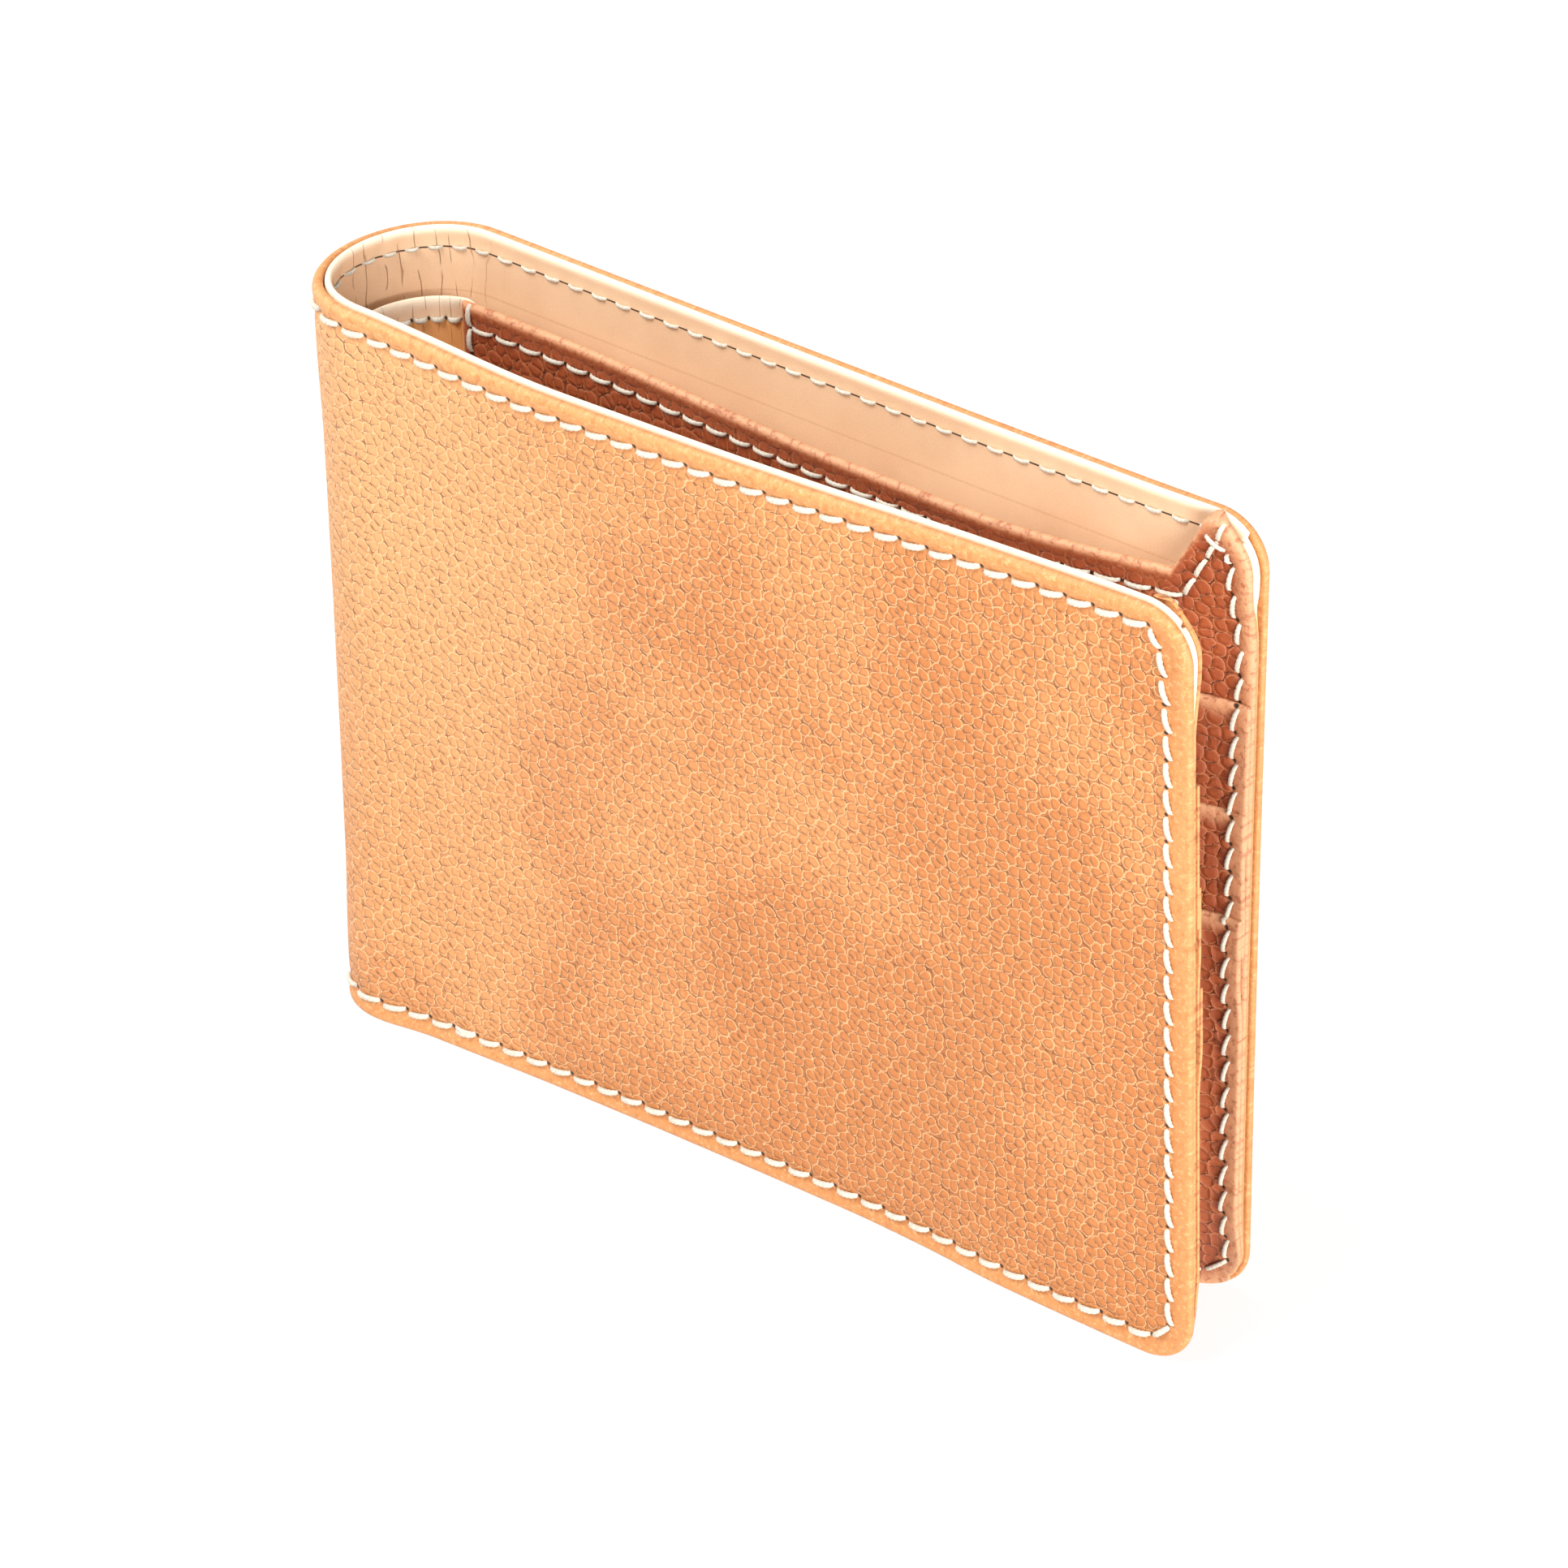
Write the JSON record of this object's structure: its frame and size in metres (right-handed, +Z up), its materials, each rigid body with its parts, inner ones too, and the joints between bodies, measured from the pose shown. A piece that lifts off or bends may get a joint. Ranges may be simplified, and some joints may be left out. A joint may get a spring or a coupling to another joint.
{
  "type": "bifold wallet",
  "caption": "Leather bifold wallet standing ajar, with a full-length bill compartment, stepped card pockets inside both halves and contrast stitching.",
  "frame": {"origin": "bottom centre of the wallet's box, on the surface that its long edge stands on", "axes": "+X from the spine to the free ends, +Y from the front half to the back half, +Z up to the mouth of the bill compartment"},
  "size_m": [0.1062, 0.0198, 0.086],
  "materials": {
    "cover_leather": "pebbled tan leather, semi-matte",
    "liner_leather": "smooth natural leather, matte",
    "card_leather": "pebbled reddish-brown leather, semi-matte",
    "pocket_lining": "thin woven lining, matte",
    "waxed_thread": "waxed off-white twisted thread"
  },
  "bodies": {
    "half_back": {"divider_back": "liner_leather", "card_panel_back": "card_leather", "pocket_lining_back_1": "pocket_lining", "pocket_lining_back_2": "pocket_lining", "edge_thread_inner_back": "waxed_thread", "panel_hem_thread_back": "waxed_thread", "panel_seam_thread_back": "waxed_thread"},
    "wall_back": {"cover_back": "cover_leather", "liner_back": "liner_leather", "hem_thread_outer_back": "waxed_thread", "hem_thread_inner_back": "waxed_thread", "edge_thread_outer_back": "waxed_thread"},
    "leaf_back_1": {"pocket_leaf_back_1": "card_leather"},
    "leaf_back_2": {"pocket_leaf_back_2": "card_leather"},
    "leaf_back_3": {"pocket_leaf_back_3": "card_leather"},
    "half_front": {"divider_front": "liner_leather", "card_panel_front": "card_leather", "pocket_lining_front_1": "pocket_lining", "pocket_lining_front_2": "pocket_lining", "edge_thread_inner_front": "waxed_thread", "panel_hem_thread_front": "waxed_thread", "panel_seam_thread_front": "waxed_thread"},
    "wall_front": {"cover_front": "cover_leather", "liner_front": "liner_leather", "hem_thread_outer_front": "waxed_thread", "hem_thread_inner_front": "waxed_thread", "edge_thread_outer_front": "waxed_thread"},
    "leaf_front_1": {"pocket_leaf_front_1": "card_leather"},
    "leaf_front_2": {"pocket_leaf_front_2": "card_leather"},
    "leaf_front_3": {"pocket_leaf_front_3": "card_leather"},
    "spine_1": {"cover_spine_1": "cover_leather", "liner_spine_1": "liner_leather", "divider_spine_1": "liner_leather", "hem_thread_outer_spine_1": "waxed_thread", "hem_thread_inner_spine_1": "waxed_thread", "edge_thread_outer_spine_1": "waxed_thread", "edge_thread_inner_spine_1": "waxed_thread", "strip_thread_spine_1": "waxed_thread"},
    "spine_2": {"cover_spine_2": "cover_leather", "liner_spine_2": "liner_leather", "divider_spine_2": "liner_leather", "hem_thread_outer_spine_2": "waxed_thread", "hem_thread_inner_spine_2": "waxed_thread", "edge_thread_outer_spine_2": "waxed_thread", "edge_thread_inner_spine_2": "waxed_thread", "strip_thread_spine_2": "waxed_thread"}
  },
  "joints": [
    {"name": "fold_1", "type": "hinge", "parent": "half_back", "child": "spine_1", "pos_m": [-0.04764, 0.00847, 0], "axis": [0, 0, -1], "range_deg": [-0.65, 60.7]},
    {"name": "fold_2", "type": "hinge", "parent": "spine_1", "child": "spine_2", "pos_m": [-0.05272, 0.00019, 0], "axis": [0, 0, -1], "range_deg": [-0.65, 60.7]},
    {"name": "fold_3", "type": "hinge", "parent": "spine_2", "child": "half_front", "pos_m": [-0.04798, -0.00828, 0], "axis": [0, 0, -1], "range_deg": [-0.65, 60.7]},
    {"name": "compartment_back", "type": "hinge", "parent": "half_back", "child": "wall_back", "pos_m": [0.00195, 0.0078, 0], "axis": [-0.9992, 0.0401, 0], "range_deg": [0, 6], "stiffness_Nm_per_rad": 0.6},
    {"name": "compartment_front", "type": "hinge", "parent": "half_front", "child": "wall_front", "pos_m": [0.0016, -0.0096, 0], "axis": [1, 0, 0], "range_deg": [0, 6], "stiffness_Nm_per_rad": 0.6},
    {"name": "pocket_back_1", "type": "hinge", "parent": "half_back", "child": "leaf_back_1", "pos_m": [0.01692, -0.0001, 0.051], "axis": [0.9992, -0.0401, 0], "range_deg": [0, 2.8], "stiffness_Nm_per_rad": 0.1},
    {"name": "pocket_back_2", "type": "hinge", "parent": "half_back", "child": "leaf_back_2", "pos_m": [0.01692, -0.00018, 0.0395], "axis": [0.9992, -0.0401, 0], "range_deg": [0, 2.8], "stiffness_Nm_per_rad": 0.1},
    {"name": "pocket_back_3", "type": "hinge", "parent": "half_back", "child": "leaf_back_3", "pos_m": [0.01699, 0.00165, 0.005], "axis": [0.9992, -0.0401, 0], "range_deg": [0, 1.2], "stiffness_Nm_per_rad": 0.1},
    {"name": "pocket_front_1", "type": "hinge", "parent": "half_front", "child": "leaf_front_1", "pos_m": [0.01688, -0.00535, 0.051], "axis": [-1, 0, 0], "range_deg": [0, 2.8], "stiffness_Nm_per_rad": 0.1},
    {"name": "pocket_front_2", "type": "hinge", "parent": "half_front", "child": "leaf_front_2", "pos_m": [0.01688, -0.00469, 0.0395], "axis": [-1, 0, 0], "range_deg": [0, 2.8], "stiffness_Nm_per_rad": 0.1},
    {"name": "pocket_front_3", "type": "hinge", "parent": "half_front", "child": "leaf_front_3", "pos_m": [0.01688, -0.00431, 0.005], "axis": [-1, 0, 0], "range_deg": [0, 1.2], "stiffness_Nm_per_rad": 0.1}
  ],
  "couplings": [
    {"joint": "fold_2", "follows": "fold_1", "ratio": 1},
    {"joint": "fold_3", "follows": "fold_1", "ratio": 1}
  ]
}
